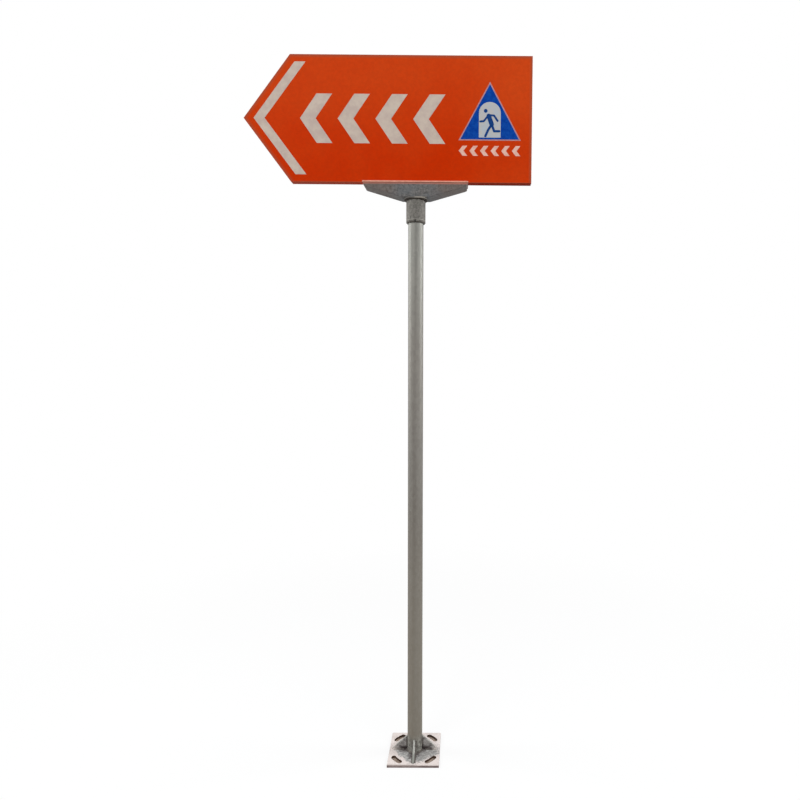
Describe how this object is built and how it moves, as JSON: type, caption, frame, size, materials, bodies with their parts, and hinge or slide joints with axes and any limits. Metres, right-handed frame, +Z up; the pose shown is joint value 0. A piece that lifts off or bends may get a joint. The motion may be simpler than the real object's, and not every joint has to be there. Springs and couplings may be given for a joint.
{
  "type": "civil defence shelter sign",
  "caption": "Direction sign on a round post: a boxed arrow panel on a folded saddle and slip-on collar, with a slotted base plate and welded gussets.",
  "frame": {"origin": "on the pole's axis at the underside of the base plate", "axes": "+Z up along the pole, the printed face looks to -Y and the arrow points to -X"},
  "size_m": [1.11, 0.205, 2.765],
  "materials": {
    "pale_plate": "pale hot-dip galvanised plate, dull",
    "gusset_steel": "galvanised plate, weathered dark grey",
    "weld": "weld bead under zinc paint, rough",
    "pole_zinc": "galvanised tube, satin with vertical streaks",
    "collar_zinc": "galvanised thick tube, rough satin",
    "screw": "blackened steel",
    "saddle_zinc": "galvanised sheet, rough and dull",
    "top_plate_zinc": "galvanised plate with pale rubbed edges",
    "sign_orange": "orange satin coating over sheet",
    "frame_tube": "bare square tube",
    "film_white": "off-white cut film, slightly worn",
    "film_blue": "blue cut film"
  },
  "bodies": {
    "root": {"base_plate": "pale_plate", "gusset_front": "gusset_steel", "gusset_back": "gusset_steel", "gusset_left": "gusset_steel", "gusset_right": "gusset_steel", "foot_welds": "weld", "pole": "pole_zinc", "collar": "collar_zinc", "collar_screws": "screw", "collar_weld": "weld", "saddle_floor": "saddle_zinc", "saddle_front_cheek": "saddle_zinc", "saddle_back_cheek": "saddle_zinc", "saddle_top_plate": "top_plate_zinc", "panel_tray": "sign_orange", "panel_back": "sign_orange", "rail_top": "frame_tube", "rail_bottom": "frame_tube", "rail_tail": "frame_tube", "rail_tip_upper": "frame_tube", "rail_tip_lower": "frame_tube", "post_left": "frame_tube", "post_right": "frame_tube", "chevron_film": "film_white", "legend_film": "film_white", "caption_film": "film_white", "emblem_border_film": "film_white", "emblem_field_film": "film_blue", "doorway_film": "film_white", "runner_film": "film_blue"}
  },
  "joints": []
}
